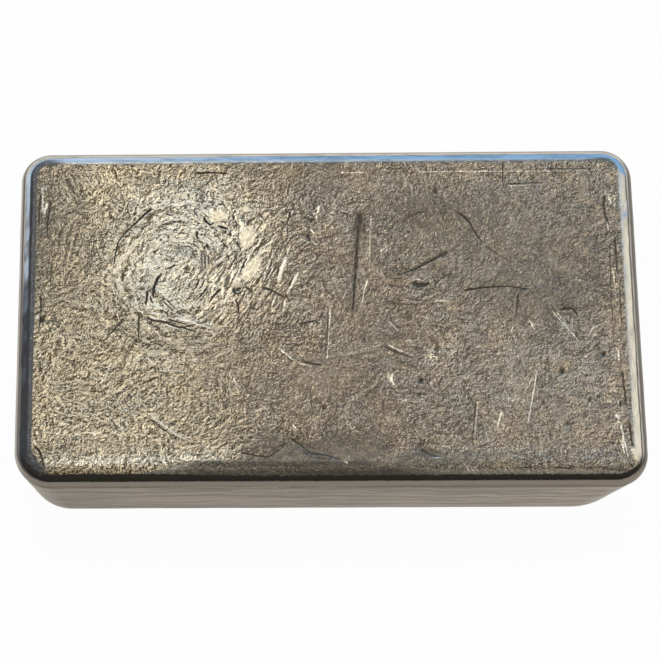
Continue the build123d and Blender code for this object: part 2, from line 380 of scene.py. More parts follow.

# Soft places on the face: the middle, the half sizes along X and Y, the turn in degrees and the amount
# Cream places: a paler skin, and partly painted highlight where the lamp's gleam and small glints fall on the
# swirl, the facets, the front strip and the rim chips
PALE_AND_HIGHLIGHT_PATCHES = {
    "swirl": ((-27, 17), (16, 12), -20, 1.0),
    "swirl's arm": ((-42, 9), (8, 12), 15, 0.6),
    "above the swirl": ((-35, 27), (11, 6), -12, 0.5),
    "left of the swirl": ((-33, 4), (11, 8), 0, 0.7),
    "smooth facet": ((-18, 10), (2.2, 3.4), -20, 0.8),
    "facet above": ((-18.7, 18.4), (2.0, 2.6), 0, 0.5),
    "round glint": ((-19.4, 25), (1.2, 1.2), 0, 0.6),
    "front strip": ((-48, -36.4), (20, 1.9), 2, 0.9),
    "front strip's end": ((-26, -34), (7, 2.4), 0, 0.4),
    "front left": ((-50, -28), (16, 8), 0, 0.25),
    "knock, lower right": ((23, -11.4), (1.8, 2.0), 0, 0.8),
    "knock, lower middle": ((14, -16.6), (1.0, 1.9), 15, 0.9),
    "knock, small": ((8.7, -9.0), (0.8, 0.8), 0, 0.7),
    "level shreds": ((-37, -12.2), (9, 1.4), 0, 0.5),
    "left glint": ((-66, -1.8), (0.5, 0.8), 0, 0.9),
    "chips, right": ((64.5, -26.4), (0.7, 1.4), 0, 0.8),
    "right back chips": ((65.2, 27.8), (1.1, 0.8), 0, 0.8),
}

# Grey places: duller skin, and partly painted shade in the pockets along the front, beside the scar, by the
# left and back rims and over the right half
GREY_AND_SHADE_PATCHES = {
    "right half": ((45, 14), (26, 20), 0, 0.5),
    "right back": ((24, 24), (14, 7), 0, 0.35),
    "middle right": ((22, 26.5), (4, 1.6), 0, 0.4),
    "right middle": ((50, 2), (14, 8), 0, 0.2),
    "slope pocket": ((-4, -34.5), (11, 3.4), 0, 0.9),
    "first pocket": ((-12.5, -31.6), (3.4, 3.0), 0, 0.7),
    "pocket beside it": ((6, -32), (8, 3.2), 0, 0.7),
    "front of the middle": ((16, -36), (36, 3.4), 0, 0.6),
    "right pocket": ((21.5, -33.4), (3, 1.6), -25, 0.6),
    "dark flat": ((-22, 13), (5, 4), 0, 0.25),
    "left rim": ((-66, 18), (2.4, 16), 0, 0.35),
    "back left": ((-64, 22), (9, 24), 0, 0.45),
    "back rim spot": ((38, 28.8), (0.8, 1.2), 0, 0.8),
    "second rim spot": ((41.5, 26), (1.3, 0.5), 0, 0.6),
    "right blot": ((50.8, -5), (1.0, 0.7), 0, 0.8),
    "scar's shade": ((7.3, 20), (1.4, 4.5), 3, 0.6),
}

BROWN_PATCHES = {
    "middle front": ((0, -15), (6.5, 5.5), 0, 0.5),
    "back of the middle": ((4, 32), (12, 4), 0, 0.4),
    "front of the knocks": ((13, -26), (6, 4), 0, 0.3),
    "right of it": ((13, -8), (10, 10), 0, 0.35),
    "lower middle": ((-4, -22), (17, 8), 0, 0.30),
    "front right": ((38, -27), (20, 8), 0, 0.25),
    "swirl's eye": ((-27.5, 12), (4.5, 4), 0, 0.6),
    "by the scar": ((4, 10), (8, 16), 0, 0.25),
    "front left": ((-50, -33), (16, 2.0), 2, 0.35),
    "under the swirl": ((-22, -14), (14, 8), 0, 0.25),
}

# Smooth bright facets where the skin has flaked or been struck flat
FACET_PATCHES = {
    "upper facet": ((-18.6, 18.0), (1.9, 3.0), -8, 0.9),
    "slanting facet": ((-17.5, 10.3), (3.6, 1.5), 58, 1.0),
    "white disc": ((-19.1, 24.9), (1.1, 1.1), 0, 0.7),
    "knock": ((-20.6, 5.8), (1.0, 0.9), 0, 1.0),
    "crust": ((-25.0, 23.4), (2.6, 1.8), 0, 0.6),
    "wedge": ((-40.2, 6.9), (0.7, 1.6), -35, 0.5),
}

# Where the skin is knocked into slanting strokes
KNOCKED = {
    "slanting knocks": ((-19, 8), (14, 11), 60, 1.0),
}

# Small round pits: the middle, the radius and the depth
PITS = {
    "knock's cup": ((-20.7, 5.4), 1.1, 0.3),
    "pit 1": ((20.8, -16.8), 0.8, 0.22),
    "pit 2": ((20.4, -20.2), 0.55, 0.25),
    "pit 3": ((52.5, -14.8), 0.7, 0.22),
    "pit 4": ((58.5, -21.5), 0.6, 0.2),
    "pit 5": ((53.3, -27), 0.55, 0.2),
    "pit 6": ((62, -10.6), 0.7, 0.25),
    "pit 7": ((48, -22.2), 0.4, 0.15),
    "pit 8": ((24.3, -9.4), 0.5, 0.2),
    "pit 9": ((-64.8, -2.4), 0.9, 0.25),
    "pit 10": ((-44.8, -20.4), 0.4, 0.15),
    "pit 11": ((24.8, 29.4), 0.7, 0.2),
    "pit 12": ((-1.0, -23.5), 0.6, 0.15),
}


def soft_step(value, low, high):
    """A smooth rise from 0 at low to 1 at high."""
    share = np.clip((value - low) / (high - low), 0, 1)
    return share * share * (3 - 2 * share)


def rolling_noise(x, y, size, seed):
    """Smooth seeded unevenness between about -1 and 1, whose swells are as wide as the size."""
    rng = np.random.default_rng(seed)
    lattice = rng.uniform(-1, 1, (NOISE_POINTS, NOISE_POINTS))
    u = x / size + NOISE_START[0]
    v = y / size + NOISE_START[1]
    i = np.floor(u).astype(int)
    j = np.floor(v).astype(int)
    fu = u - i
    fv = v - j
    fu = fu * fu * fu * (fu * (fu * 6 - 15) + 10)
    fv = fv * fv * fv * (fv * (fv * 6 - 15) + 10)
    i = i % (NOISE_POINTS - 1)
    j = j % (NOISE_POINTS - 1)
    low = lattice[i, j] * (1 - fu) + lattice[i + 1, j] * fu
    high = lattice[i, j + 1] * (1 - fu) + lattice[i + 1, j + 1] * fu
    return low * (1 - fv) + high * fv


def swelling(x, y, swell):
    """Rolling noise of one kind: how far it stands out, how wide its swells are and its seed."""
    far, size, seed = swell
    return far * rolling_noise(x, y, size, seed)


def smooth_line(points, pieces=5):
    """The points of a listed mark, with a smooth bend through them."""
    points = np.array(points, float)
    if len(points) < 3:
        return points
    padded = np.vstack([2 * points[0] - points[1], points, 2 * points[-1] - points[-2]])
    line = []
    for k in range(len(points) - 1):
        before, start, end, after = padded[k:k + 4]
        for step in range(pieces):
            t = step / pieces
            bend = 2 * start + (end - before) * t
            bend = bend + (2 * before - 5 * start + 4 * end - after) * t * t
            bend = bend + (3 * start - before - 3 * end + after) * t ** 3
            line.append(bend / 2)
    line.append(points[-1])
    return np.array(line)


def off_line(x, y, points, reach):
    """Each place's distance to the left of a line, a strength that fades at its ends, and its slimming."""
    line = smooth_line(points)
    legs = np.diff(line, axis=0)
    lengths = np.hypot(legs[:, 0], legs[:, 1])
    total = lengths.sum()
    low = line.min(0) - reach
    high = line.max(0) + reach
    near = (x > low[0]) & (x < high[0]) & (y > low[1]) & (y < high[1])
    px = x[near]
    py = y[near]
    best = np.full(px.shape, 1e9)
    offset = np.zeros(px.shape)
    travel = np.zeros(px.shape)
    run = 0
    for (ax, ay), (lx, ly), length in zip(line[:-1], legs, lengths):
        ux = lx / length
        uy = ly / length
        held = np.clip((px - ax) * ux + (py - ay) * uy, 0, length)
        dx = px - ax - held * ux
        dy = py - ay - held * uy
        distance = np.hypot(dx, dy)
        closer = distance < best
        best = np.where(closer, distance, best)
        offset = np.where(closer, distance * np.where(ux * dy - uy * dx < 0, -1, 1), offset)
        travel = np.where(closer, run + held, travel)
        run += length
    fade = min(END_FADE, total / 3)
    strength = soft_step(travel, 0, fade) * soft_step(total - travel, 0, fade)
    return near, offset, strength, SLIMMING[0] - SLIMMING[1] * travel / total


def soft_patches(x, y, patches):
    """The summed amounts of a set of soft oval places."""
    amount = np.zeros(x.shape)
    for (cx, cy), (half_x, half_y), turn, share in patches.values():
        angle = math.radians(turn)
        dx = (x - cx) * math.cos(angle) + (y - cy) * math.sin(angle)
        dy = (y - cy) * math.cos(angle) - (x - cx) * math.sin(angle)
        amount += share * np.exp(-((dx / half_x) ** 2 + (dy / half_y) ** 2) ** 1.5)
    return amount


def edge_profile():
    """Inset from the widest outline, height and lean, in rows from the face's edge down to the base."""
    stations = []
    for row in range(SHOULDER_ROWS + 1):
        angle = math.pi / 2 * row / SHOULDER_ROWS
        inset = SHOULDER_RADIUS * (1 - math.sin(angle))
        stations.append((inset, THICKNESS - SHOULDER_RADIUS * (1 - math.cos(angle)), row / SHOULDER_ROWS))
    foot_level = FOOT_RADIUS * (1 - math.sin(WALL_DRAFT))
    for row in range(WALL_ROWS + 1):
        height = WALL_TOP + (foot_level - WALL_TOP) * row / WALL_ROWS
        stations.append(((WALL_TOP - height) * math.tan(WALL_DRAFT), height, 1))
    foot_inset = stations[-1][0]
    for row in range(1, FOOT_ROWS + 1):
        angle = WALL_DRAFT + (math.pi / 2 - WALL_DRAFT) * row / FOOT_ROWS
        bulge = math.cos(WALL_DRAFT) - math.cos(angle)
        stations.append((foot_inset + FOOT_RADIUS * bulge, FOOT_RADIUS * (1 - math.sin(angle)), 1))
    return np.array(stations)


def plan_place(s, t, inset, height):
    """Where the point (s, t) of a square from -1 to 1 lies on the bar's level section."""
    depth = np.clip((WALL_TOP - height) / WALL_TOP, 0, 1)
    foot_bite = np.clip(inset - (WALL_TOP - height) * math.tan(WALL_DRAFT), 0, None)
    x = s * (LENGTH / 2 - inset)
    y = t * (WIDTH / 2 - inset)
    for side_x, side_y, stray, top_round, spread in CORNERS:
        radius = top_round + spread * depth - foot_bite
        here = (s * side_x > 0) & (t * side_y > 0)
        across = (side_x * x - (LENGTH / 2 - inset - radius)) / radius
        along = (side_y * y - (WIDTH / 2 - inset - radius)) / radius
        bend = here & (across > 0) & (along > 0)
        x_pull = np.sqrt(1 - np.clip(along, 0, 1) ** 2 / 2) - 1
        y_pull = np.sqrt(1 - np.clip(across, 0, 1) ** 2 / 2) - 1
        x = np.where(bend, x + side_x * radius * across * x_pull, x)
        y = np.where(bend, y + side_y * radius * along * y_pull, y)
    x_stray = sum(stray[0] * (1 + sx * s) * (1 + sy * t) / 4 for sx, sy, stray, _, _ in CORNERS)
    y_stray = sum(stray[1] * (1 + sx * s) * (1 + sy * t) / 4 for sx, sy, stray, _, _ in CORNERS)
    return x + x_stray, y + y_stray


def gridded_box():
    """A box from -1 to 1, open below, with a grid on its face and rows down its sides."""
    bm = bmesh.new()
    bmesh.ops.create_cube(bm, size=2)
    under = [face for face in bm.faces if face.normal.z < -0.5]
    bmesh.ops.delete(bm, geom=under, context="FACES_ONLY")
    side_rows = SHOULDER_ROWS + WALL_ROWS + 1 + FOOT_ROWS
    for axis, cuts in ((0, FACE_COLUMNS - 1), (1, FACE_ROWS - 1), (2, side_rows - 1)):
        edges = [e for e in bm.edges if abs((e.verts[0].co - e.verts[1].co)[axis]) > 1e-6]
        bmesh.ops.subdivide_edges(bm, edges=edges, cuts=cuts, use_grid_fill=True)
    return bm


def read_places(mesh):
    """The place of every vertex, one to a row."""
    co = np.empty(len(mesh.vertices) * 3)
    mesh.vertices.foreach_get("co", co)
    return co.reshape(-1, 3)


def write_places(mesh, place):
    """Sets the place of every vertex, given in millimetres."""
    mesh.vertices.foreach_set("co", (place * MM).ravel())
    mesh.update()


def read_normals(mesh):
    """The normal of every vertex, one to a row."""
    normals = np.empty(len(mesh.vertices) * 3)
    mesh.vertex_normals.foreach_get("vector", normals)
    return normals.reshape(-1, 3)


def keep_amount(mesh, name, amount):
    """Keeps one number per vertex under a name that the material reads."""
    layer = mesh.attributes.new(name, "FLOAT", "POINT")
    layer.data.foreach_set("value", np.asarray(amount, np.float32))


def keep_triple(mesh, name, triple):
    """Keeps three numbers per vertex under a name that the material reads."""
    layer = mesh.attributes.new(name, "FLOAT_VECTOR", "POINT")
    layer.data.foreach_set("vector", np.asarray(triple, np.float32).ravel())


def carve(x, y):
    """The relief of the hand-placed marks, and how far each place lies in a pit."""
    relief = np.zeros(x.shape)
    pitted = np.zeros(x.shape)
    for half_width, groove, step, points in RELIEF_MARKS.values():
        near, offset, strength, slimming = off_line(x, y, points, 5)
        half_width = half_width * slimming * (1 + swelling(x[near], y[near], RAGGED_MARKS))
        swell = np.exp(-(offset / half_width) ** 2)
        terrace = np.tanh(offset / half_width) * np.exp(-np.abs(offset) / (5 * half_width))
        relief[near] += strength * (step * terrace - groove * swell)
    for (cx, cy), radius, depth in PITS.values():
        distance = np.hypot(x - cx, y - cy) / radius
        relief += depth * (0.35 * np.exp(-((distance - 1.3) / 0.35) ** 2) - np.exp(-distance ** 2))
        pitted += np.exp(-(distance / 0.75) ** 2)
    return relief, pitted


def stroke_layers(mesh, x, y, share):
    """Lays the strokes in layers, none over another: the distance off each, its tone and its half width."""
    layers = [np.zeros((len(x), 3)) for _ in STROKE_LAYERS]
    for half_width, shade, points in ALL_STROKES:
        reach = half_width * 1.2 + STROKE_MARGIN
        near, offset, strength, slimming = off_line(x, y, points, reach)
        inside = (np.abs(offset) < reach) & (strength > 0)
        rows = np.flatnonzero(near)[inside]
        layer = min(layers, key=lambda held: np.count_nonzero(held[rows, 2]))
        free = layer[rows, 2] == 0
        rows = rows[free]
        layer[rows, 0] = offset[inside][free]
        fade = soft_step(np.abs(offset[inside][free]), reach, reach - STROKE_SOFTNESS)
        layer[rows, 1] = shade * strength[inside][free] * fade * share[rows]
        layer[rows, 2] = STROKE_BREADTH * half_width * slimming[inside][free]
    for name, layer in zip(STROKE_LAYERS, layers):
        keep_triple(mesh, name, layer)


def smooth_bar(unit):
    """Where each point of the gridded box lies on the smooth bar, and its lean from the face to the walls."""
    profile = edge_profile()
    rows = (1 - unit[:, 2]) / 2 * (len(profile) - 1)
    stations = np.arange(len(profile))
    inset, height, lean = [np.interp(rows, stations, column) for column in profile.T]
    x, y = plan_place(unit[:, 0], unit[:, 1], inset, height)
    return np.stack([x, y, height], 1), lean


def cast_relief(place, lean, marks):
    """How far the cast skin stands out from the smooth bar."""
    x, y, height = place.T
    side_run = x - y
    # The face's relief fades out where the shoulder starts to roll over
    from_side = LENGTH / 2 - SHOULDER_RADIUS - np.abs(x)
    from_front = WIDTH / 2 - SHOULDER_RADIUS - np.abs(y)
    sunk = soft_step(np.minimum(from_side, from_front), -0.5, 4.0) * soft_step(lean, *FACE_LEAN)
    face_swell = sum(swelling(x, y, swell) for swell in FACE_SWELLS)
    shoulder_share = soft_step(lean, 0.0, 0.25) * soft_step(lean, 1.0, 0.8)
    front_and_back = np.maximum(soft_step(y, *CALM_FRONT), soft_step(y, *CALM_BACK))
    ripple = swelling(side_run, height * 1.6, FINE_RIPPLE) + swelling(side_run, height, BROAD_RIPPLE)
    wall_swell = swelling(side_run, height * 3, WALL_SWELL)
    out = sunk * (face_swell - FACE_DROP) + marks * (0.3 + 0.7 * sunk)
    out = out + shoulder_share * (1 - 0.75 * front_and_back) * ripple
    return out + soft_step(lean, 0.75, 1.0) * (wall_swell - WALL_SINK) - SKIN_INSET


def bar_mesh():
    """The bar with its marks, and beside each vertex the amounts that its finish needs."""
    bm = gridded_box()
    mesh = bpy.data.meshes.new("cast_bar")
    bm.to_mesh(mesh)
    bm.free()
    place, lean = smooth_bar(read_places(mesh))
    write_places(mesh, place)
    x, y, height = place.T
    face_share = soft_step(lean, *FACE_LEAN)
    marks, pitted = carve(x, y)
    out = cast_relief(place, lean, marks * face_share)
    cast_place = place + read_normals(mesh) * out[:, None]
    cast_place[:, 2] = np.clip(cast_place[:, 2], 0, THICKNESS - TOP_CLEARANCE)
    cast_place[height < 0.001, 2] = 0
    write_places(mesh, cast_place)
    keep_amount(mesh, "lean", lean)
    keep_amount(mesh, "pitted", pitted * face_share)
    keep_amount(mesh, "flat", soft_patches(x, y, FACET_PATCHES))
    keep_amount(mesh, "knocked", np.clip(soft_patches(x, y, KNOCKED), 0, 1))
    for name, patches in (("cream", PALE_AND_HIGHLIGHT_PATCHES), ("grey", GREY_AND_SHADE_PATCHES), ("brown", BROWN_PATCHES)):
        keep_amount(mesh, name, soft_patches(x, y, patches) * face_share)
    stroke_layers(mesh, x, y, soft_step(lean, *STROKED_LEAN))
    return mesh


def close_base(mesh):
    """Fills the open underside with one flat face."""
    bm = bmesh.new()
    bm.from_mesh(mesh)
    rim = [edge for edge in bm.edges if edge.is_boundary]
    bmesh.ops.contextual_create(bm, geom=rim)
    bmesh.ops.recalc_face_normals(bm, faces=bm.faces)
    bm.to_mesh(mesh)
    bm.free()


class Wire:
    """A socket of a material or world, on which plain sums add the nodes that work them out."""

    def __init__(self, tree, socket=None):
        self.tree = tree
        self.socket = socket

    def add(self, kind, settings, sockets, take=0):
        """Adds one node: its settings first, then its sockets, and gives back the output to take."""
        node = self.tree.nodes.new(kind)
        for name, value in settings.items():
            setattr(node, name, value)
        for name, value in sockets.items():
            if isinstance(value, Wire):
                value.into(node, name)
            else:
                node.inputs[name].default_value = value
        return Wire(self.tree, node.outputs[take])

    def into(self, node, name):
        """Links this socket to a node's input."""
        self.tree.links.new(self.socket, node.inputs[name])

    def part(self, name):
        """Another output of the node that this socket belongs to."""
        return Wire(self.tree, self.socket.node.outputs[name])

    def sum(self, operation, first, second=0.0):
        """One Math node."""
        return self.add("ShaderNodeMath", {"operation": operation}, {0: first, 1: second})

    def __add__(self, other):
        return self.sum("ADD", self, other)

    def __radd__(self, other):
        return self.sum("ADD", other, self)

    def __sub__(self, other):
        return self.sum("SUBTRACT", self, other)

    def __rsub__(self, other):
        return self.sum("SUBTRACT", other, self)

    def __mul__(self, other):
        return self.sum("MULTIPLY", self, other)

    def __rmul__(self, other):
        return self.sum("MULTIPLY", other, self)

    def __truediv__(self, other):
        return self.sum("DIVIDE", self, other)

    def __abs__(self):
        return self.sum("ABSOLUTE", self)

    def larger(self, other):
        return self.sum("MAXIMUM", self, other)

    def smaller(self, other):
        return self.sum("MINIMUM", self, other)

    def cosine(self):
        return self.sum("COSINE", self)

    def sine(self):
        return self.sum("SINE", self)

    def rise(self, low, high):
        """A smooth rise from 0 at low to 1 at high, or a fall where high is the smaller."""
        settings = {"interpolation_type": "SMOOTHSTEP"}
        return self.add("ShaderNodeMapRange", settings, {"Value": self, "From Min": low, "From Max": high})

    def blend(self, first, second):
        """Goes from the first colour to the second as this socket goes from 0 to 1."""
        settings = {"data_type": "RGBA", "clamp_factor": True}
        return self.add("ShaderNodeMix", settings, {0: self, 6: first, 7: second}, 2)

    def stretch(self, along_x, along_y, along_z):
        """A place with each of its directions scaled by itself."""
        sockets = {0: self, 1: (along_x, along_y, along_z)}
        return self.add("ShaderNodeVectorMath", {"operation": "MULTIPLY"}, sockets)

    def shift(self, along_x, along_y):
        """A place moved on the level."""
        sockets = {0: self, 1: (along_x, along_y, 0.0)}
        return self.add("ShaderNodeVectorMath", {"operation": "ADD"}, sockets)

    def split(self):
        """The three numbers of a vector socket."""
        first = self.add("ShaderNodeSeparateXYZ", {}, {0: self})
        return [first, first.part(1), first.part(2)]


def noise(place, scale, detail=2.0, roughness=0.5, distortion=0.0):
    """A noise pattern over a place, with swells of about one over the scale."""
    settings = {"noise_type": "FBM", "normalize": True}
    sockets = {"Vector": place, "Scale": scale, "Detail": detail, "Roughness": roughness}
    sockets["Distortion"] = distortion
    return place.add("ShaderNodeTexNoise", settings, sockets, "Fac")


def joined(first, second, third=0.0):
    """A vector out of three numbers."""
    return first.add("ShaderNodeCombineXYZ", {}, {0: first, 1: second, 2: third})


def colour(red, green, blue):
    return (red, green, blue, 1.0)


# Where one finish gives way to the next, in millimetres along X or Y: each starts at its first number
# and is full at its second
# Across this span the face goes from its left half, painted brighter as painted light, to its darker right
# half
LEFT_HALF = (6, -44)
FRONT_EDGE = (-33, -37)
BACK_EDGE = (33, 37)
RAGGED_ENDS = (58, 66)
FRONT_LEFT_CRUST = (-31, -44)
FRONT_RIGHT_CRUST = (6, 34)
FRONT_CUT = (-35.0, -35.7)
FRONT_CUT_START = (-38, -29)
FRONT_CUT_END = (26, 6)
BARE_SLOPE = (-44, -28)
DARK_SLOPE = (34, 12)
DULL_MIDDLE_START = (-34, -6)
DULL_MIDDLE_END = (44, 10)
LEFT_RIM = (-61, -66)
LEFT_SHOULDER = (-60, -66)
LEFT_CORNERS = (-60, -68)
RIGHT_CORNERS = (60, 68)
BACK_CORNERS = (35, 39)
FRONT_CORNERS = (-35, -39)
BLUE_PART = (2, 12)
THICK_FRONT_BAND = (-10, -50)
OTHER_WALLS = (-39.5, -33)
WHOLE_LENGTH = (-70, 70)

# The same for the lean, which is 0 on the face and 1 on the walls, and how softly the crust ends
WALL_LEAN = (0.55, 0.95)
RIM_LEAN = (0.0, 0.08)
EDGE_LEAN = (0.46, 0.56)
SKIN_TO_WALL = (0.76, 0.98)
CRUST_SOFTNESS = 0.10

# The swirl: its eye, the distances over which it fades outwards and towards its eye, and how closely its
# folds lie round it and outwards
SWIRL_EYE = (-33.0, 8.0)
SWIRL_OUTSIDE = (28, 14)
SWIRL_EYE_FADE = (3, 9)
SWIRL_FOLDS_ROUND = 2.6
SWIRL_FOLDS_OUT = 0.55

# Which way the folds lie, in radians: across the swirl, over the knocks and elsewhere
QUARTER_TURN = 1.57
KNOCKED_HEADING = 1.05
COMMON_HEADING = 0.9

# Folds get painted shade and highlight in their colour by comparing their height at a small step to either
# side
RING_STEPS = (0.09, -0.09)
CRUMPLE_STEPS = (0.07, -0.07)
PATCH_STEPS = (0.0, 0.24, -0.24)

# The silver's tones. The left half is painted brighter than the right: painted light where the lamp's gleam
# falls, and partly a duller skin at the right
LEFT_DARK = colour(0.094, 0.069, 0.038)
LEFT_BRIGHT = colour(0.875, 0.735, 0.522)
RIGHT_DARK = colour(0.078, 0.064, 0.047)
RIGHT_WARM = colour(0.495, 0.418, 0.332)
RIGHT_COOL = colour(0.455, 0.415, 0.358)
BROWN = colour(0.20, 0.165, 0.128)
GREY_AND_SHADE = colour(0.150, 0.131, 0.106)
PALE_CREAM_AND_HIGHLIGHT = colour(0.98, 0.90, 0.72)
FACET = colour(0.66, 0.60, 0.47)
# Painted shade for the left rim and the back rim
LEFT_RIM_SHADE = colour(0.10, 0.095, 0.09)
BACK_RIM_SHADE = colour(0.15, 0.15, 0.145)
SLOPE_DULL = colour(0.36, 0.325, 0.275)
SLOPE_BRIGHT = colour(0.76, 0.70, 0.61)
SLOPE_DARK = colour(0.12, 0.109, 0.094)
SLOPE_CUT = colour(0.075, 0.068, 0.058)
DENT = colour(0.05, 0.043, 0.036)
STROKE_DARK_AND_SHADE = colour(0.05, 0.042, 0.033)
STROKE_BRIGHT_AND_HIGHLIGHT = colour(0.88, 0.81, 0.67)
POLISH_DULL = colour(0.40, 0.385, 0.36)
POLISH_BRIGHT = colour(0.64, 0.625, 0.60)
# Lower shoulder tones, one to a side: painted reflection and shade of the dim surroundings that side mirrors
SHOULDER_LEFT_REFLECTION = colour(0.36, 0.345, 0.325)
SHOULDER_RIGHT_REFLECTION = colour(0.13, 0.125, 0.115)
SHOULDER_BACK_REFLECTION = colour(0.20, 0.195, 0.19)
SHOULDER_FRONT_REFLECTION = colour(0.22, 0.20, 0.178)
SHOULDER_FAR_LEFT_REFLECTION = colour(0.09, 0.087, 0.085)
# Dark bands of painted reflection along the left and front shoulder
LEFT_DARK_REFLECTION = colour(0.125, 0.125, 0.13)
FRONT_DARK_REFLECTION = colour(0.06, 0.056, 0.05)
# Wall tones, painted dark as shade for the dim surroundings the walls mirror, and darker at the left than at
# the right
WALL_LINES_LEFT = (colour(0.05, 0.037, 0.024), colour(0.172, 0.138, 0.100))
WALL_LINES_RIGHT = (colour(0.08, 0.062, 0.043), colour(0.22, 0.182, 0.137))
CREVICE = colour(0.035, 0.03, 0.024)
PLAIN_WALL = colour(0.25, 0.232, 0.208)


def folds_heading(x, y, swirl, knocked):
    """Which way the skin's folds lie: round the swirl, all one way where knocked, and slanting elsewhere."""
    eye_x, eye_y = SWIRL_EYE
    round_swirl = x.sum("ARCTAN2", y - eye_y, x - eye_x) + QUARTER_TURN
    heading = COMMON_HEADING + (round_swirl - COMMON_HEADING) * swirl
    return heading + (KNOCKED_HEADING - heading) * knocked


class CastSkin:
    """What the bar's finish is worked out from: places in millimetres, and shares from 0 to 1."""

    def __init__(self, tree):
        self.sheet = Wire(tree)
        metres = self.sheet.add("ShaderNodeTexCoord", {}, {}, "Object")
        scaling = {"operation": "SCALE"}
        self.place = self.sheet.add("ShaderNodeVectorMath", scaling, {0: metres, "Scale": 1 / MM})
        self.x, self.y, self.z = self.place.split()
        self.lean = self.kept("lean")
        # The grey places are partly painted shade
        self.grey = self.kept("grey")
        self.brown = self.kept("brown")
        self.cream = self.kept("cream") * (1.0 - self.brown)
        self.wall = self.lean.rise(*WALL_LEAN)
        self.mottled = noise(self.place, 0.35, 4.0, 0.65)
        self.crinkle = noise(self.place, 2.8, 1.5, 0.6, 0.8)
        self.grain = noise(self.place, 3.6, 2.0, 0.7)
        self.folds = noise(self.place, 0.75, 2.0, 0.55, 1.0)
        self.worn = noise(self.place, 0.11, 2.0, 0.5)
        self.left = self.x.rise(*LEFT_HALF)
        self.front = self.y.rise(*FRONT_EDGE)
        self.back = self.y.rise(*BACK_EDGE)
        self.lay_crust()
        self.comb_swirl()
        self.lay_folds()
        self.smooth = (self.kept("flat") + (self.folds - 0.5) * 0.6).rise(0.30, 0.45) * self.face
        self.stroke = self.strokes()
        self.lines = self.wall_lines()
        self.streaks = self.shoulder_streaks()
        self.tone_and_painted_shade = self.unevenness()

    def kept(self, name, output="Fac"):
        """What the mesh keeps for each vertex under a name."""
        return self.sheet.add("ShaderNodeAttribute", {"attribute_name": name}, {}, output)

    def lay_crust(self):
        """The crumpled crust ends raggedly at the left and right, and runs on down the front slope."""
        x = self.x
        ragged = abs(x).rise(*RAGGED_ENDS)
        front_reach = 0.02 + 0.28 * x.rise(*FRONT_LEFT_CRUST) + 0.16 * x.rise(*FRONT_RIGHT_CRUST)
        reach = self.front * front_reach + self.back * 0.05
        reach = reach + (self.folds * 0.12 + self.crinkle * 0.06) * ragged + CRUST_SOFTNESS
        cut_line = (self.y + self.folds * 0.8).rise(*FRONT_CUT)
        self.cut = cut_line * x.rise(*FRONT_CUT_START) * x.rise(*FRONT_CUT_END)
        uncut = self.lean.rise(reach, reach - CRUST_SOFTNESS)
        self.face = uncut * (1.0 - self.cut)
        bare = x.rise(*BARE_SLOPE)
        self.slope = (self.front + self.cut).smaller(1.0) * (1.0 - self.face) * bare
        self.crusted = uncut.larger(self.front * bare * self.lean.rise(0.42, 0.36))
        self.strength = self.crusted * (0.58 + 0.42 * self.left) * (0.6 + 0.8 * self.worn)

    def comb_swirl(self):
        """The skin turns about the swirl's eye, and the slanting knocks to its right lie all one way."""
        eye_x, eye_y = SWIRL_EYE
        off_x = self.x - eye_x
        off_y = self.y - eye_y
        round_eye = off_x.sum("ARCTAN2", off_y, off_x)
        from_eye = off_x.sum("SQRT", off_x * off_x + off_y * off_y)
        self.swirl = from_eye.rise(*SWIRL_OUTSIDE) * from_eye.rise(*SWIRL_EYE_FADE)
        self.knocked = self.kept("knocked")
        ring_x = round_eye.cosine() * SWIRL_FOLDS_ROUND
        ring_y = round_eye.sine() * SWIRL_FOLDS_ROUND
        ring = (from_eye + (self.folds - 0.5) * 3.0) * SWIRL_FOLDS_OUT
        rings = [noise(joined(ring_x, ring_y, ring + side), 1.0, 3.5, 0.66, 0.5) for side in RING_STEPS]
        slant_u = self.x * 0.09 + self.y * 0.155
        slant_v = self.y * 0.28 - self.x * 0.48
        slants = [noise(joined(slant_u, slant_v + side), 1.0, 3.5, 0.66, 0.6) for side in RING_STEPS]
        self.calm = self.swirl * (1.0 - self.knocked)
        # The height difference across each ring or slant is painted shade and highlight in the colour
        self.combed_painted_shade = (rings[0] - rings[1]) * self.calm + (slants[0] - slants[1]) * self.knocked
        self.combed_height = (rings[0] - 0.5) * self.calm + (slants[0] - 0.5) * self.knocked

    def combed_patches(self, shift, size, fineness):
        """Folds that lie one way in each patch of skin: their height, and the painted shade and highlight of
        their sides.
        """
        x, y = self.x, self.y
        bent_x = x + (self.folds - 0.5) * 4.0 + shift[0]
        bent_y = y + (self.mottled - 0.5) * 4.0 + shift[1]
        settings = {"voronoi_dimensions": "2D", "feature": "F1"}
        sockets = {"Vector": joined(bent_x, bent_y), "Scale": 1 / size}
        cells = x.add("ShaderNodeTexVoronoi", settings, sockets)
        middle_x, middle_y, _ = cells.part("Position").split()
        turn, layer, _ = cells.part("Color").split()
        spread = 2.6 - 1.9 * self.swirl.larger(self.knocked)
        heading = folds_heading(middle_x, middle_y, self.swirl, self.knocked) + (turn - 0.5) * spread
        cosine = heading.cosine()
        sine = heading.sine()
        dx = x - middle_x
        dy = y - middle_y
        along = (dx * cosine + dy * sine) * fineness * 0.36
        across = (dy * cosine - dx * sine) * fineness
        apart = layer * 40.0
        ridges = [noise(joined(along, across + side, apart), 1.0, 2.5, 0.62, 0.5) for side in PATCH_STEPS]
        return ridges[0] - 0.5, ridges[1] - ridges[2]

